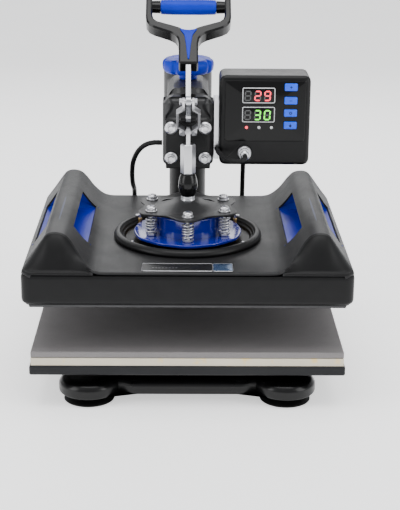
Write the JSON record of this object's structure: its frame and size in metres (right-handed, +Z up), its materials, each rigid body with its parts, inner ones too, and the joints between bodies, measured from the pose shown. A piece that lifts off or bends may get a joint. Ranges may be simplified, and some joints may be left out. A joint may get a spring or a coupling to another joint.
{
  "type": "heat press",
  "caption": "Swing-away flat heat press: lower board on suction feet, sprung upper platen on a toggle handle, column, pressure knob and control box.",
  "frame": {"origin": "on the floor, under the middle of the machine's box without its mains lead", "axes": "+Z up, -Y towards the operator, +X to the operator's right"},
  "size_m": [0.398, 0.557, 0.4639],
  "materials": {
    "gloss_black": "glossy black enamel on pressed steel and moulded parts",
    "satin_black": "satin charcoal moulded cover with a fine grain",
    "black_paint": "black powder coat",
    "charcoal_cast": "satin charcoal paint on a casting",
    "blue_plastic": "royal blue moulded plastic",
    "blue_paint": "royal blue gloss enamel",
    "zinc": "bright zinc plating",
    "steel": "machined steel",
    "aluminium": "coated aluminium plate",
    "silicone": "speckled grey silicone foam",
    "fibre_board": "cream fibre board with fine specks",
    "rubber": "black rubber",
    "button_blue": "bright blue push buttons",
    "display": "dark display windows",
    "bronze": "sintered bronze bush",
    "circuit": "green circuit board"
  },
  "bodies": {
    "root": {"base_frame": "gloss_black", "column": "black_paint", "suction_foot_front_left": "rubber", "suction_foot_front_right": "rubber", "suction_foot_back_left": "rubber", "suction_foot_back_right": "rubber", "support_rail_left": "black_paint", "support_rail_right": "black_paint", "lower_tray": "black_paint", "fibre_board": "fibre_board", "silicone_pad": "silicone", "mains_lead_lower": "rubber", "mains_coil": "rubber", "mains_plug": "rubber"},
    "head": {"head_casting": "charcoal_cast", "column_bushing": "bronze", "front_plate": "black_paint", "flange_bolt_upper_left": "zinc", "flange_bolt_upper_right": "zinc", "flange_bolt_lower_left": "zinc", "flange_bolt_lower_right": "zinc", "control_box": "satin_black", "circuit_board": "circuit", "control_panel": "gloss_black", "display_module": "display", "control_bracket": "zinc", "cable_connector": "zinc", "sensor_lead": "rubber", "heater_lead": "rubber", "mains_gland": "rubber", "mains_lead_upper": "rubber"},
    "handle": {"lever_bar": "steel", "handle_frame": "gloss_black", "grip_sleeve": "blue_plastic", "stem_insert": "blue_plastic"},
    "straps": {"link_straps": "zinc"},
    "knob": {"pressure_knob": "blue_plastic", "threaded_rod": "zinc"},
    "platen": {"platen_housing": "satin_black", "top_cover": "satin_black", "ridge_end_cap_left": "satin_black", "ridge_end_cap_right": "satin_black", "window_liner_left": "blue_plastic", "window_liner_right": "blue_plastic", "heating_plate": "aluminium", "ring_bezel": "satin_black", "spring_disc": "blue_paint", "dome_plate": "black_paint", "press_shaft": "steel", "shaft_cap": "gloss_black", "spring_1": "zinc", "spring_2": "zinc", "spring_3": "zinc", "spring_4": "zinc", "spring_5": "zinc", "spring_6": "zinc"},
    "button_1_body": {"button_1": "button_blue"},
    "button_2_body": {"button_2": "button_blue"},
    "button_3_body": {"button_3": "button_blue"},
    "button_4_body": {"button_4": "button_blue"}
  },
  "joints": [
    {"name": "head_swing", "type": "hinge", "parent": "root", "child": "head", "pos_m": [0, 0.174, 0.3], "axis": [0, 0, 1], "range_deg": [-90, 90]},
    {"name": "handle_hinge", "type": "hinge", "parent": "head", "child": "handle", "pos_m": [0, -0.061, 0.336], "axis": [1, 0, 0], "range_deg": [0, 135]},
    {"name": "strap_hinge", "type": "hinge", "parent": "handle", "child": "straps", "pos_m": [0, -0.08221, 0.35721], "axis": [1, 0, 0], "range_deg": [-161.5, 0]},
    {"name": "platen_slide", "type": "slide", "parent": "head", "child": "platen", "axis": [0, 0, -1], "range_m": [0, 0.0562], "deforming": ["heater_lead"]},
    {"name": "knob_turn", "type": "hinge", "parent": "head", "child": "knob", "pos_m": [0, 0.059, 0.368], "axis": [0, 0, 1], "range_deg": [-540, 540]},
    {"name": "button_1_press", "type": "slide", "parent": "head", "child": "button_1_body", "axis": [0, 1, 0], "range_m": [0, 0.001], "stiffness_N_per_m": 300, "springref_m": -0.001},
    {"name": "button_2_press", "type": "slide", "parent": "head", "child": "button_2_body", "axis": [0, 1, 0], "range_m": [0, 0.001], "stiffness_N_per_m": 300, "springref_m": -0.001},
    {"name": "button_3_press", "type": "slide", "parent": "head", "child": "button_3_body", "axis": [0, 1, 0], "range_m": [0, 0.001], "stiffness_N_per_m": 300, "springref_m": -0.001},
    {"name": "button_4_press", "type": "slide", "parent": "head", "child": "button_4_body", "axis": [0, 1, 0], "range_m": [0, 0.001], "stiffness_N_per_m": 300, "springref_m": -0.001}
  ],
  "couplings": [
    {"joint": "strap_hinge", "follows": "handle_hinge", "ratio": -1.1937},
    {"joint": "platen_slide", "follows": "handle_hinge", "m_per_rad": 0.023827}
  ]
}
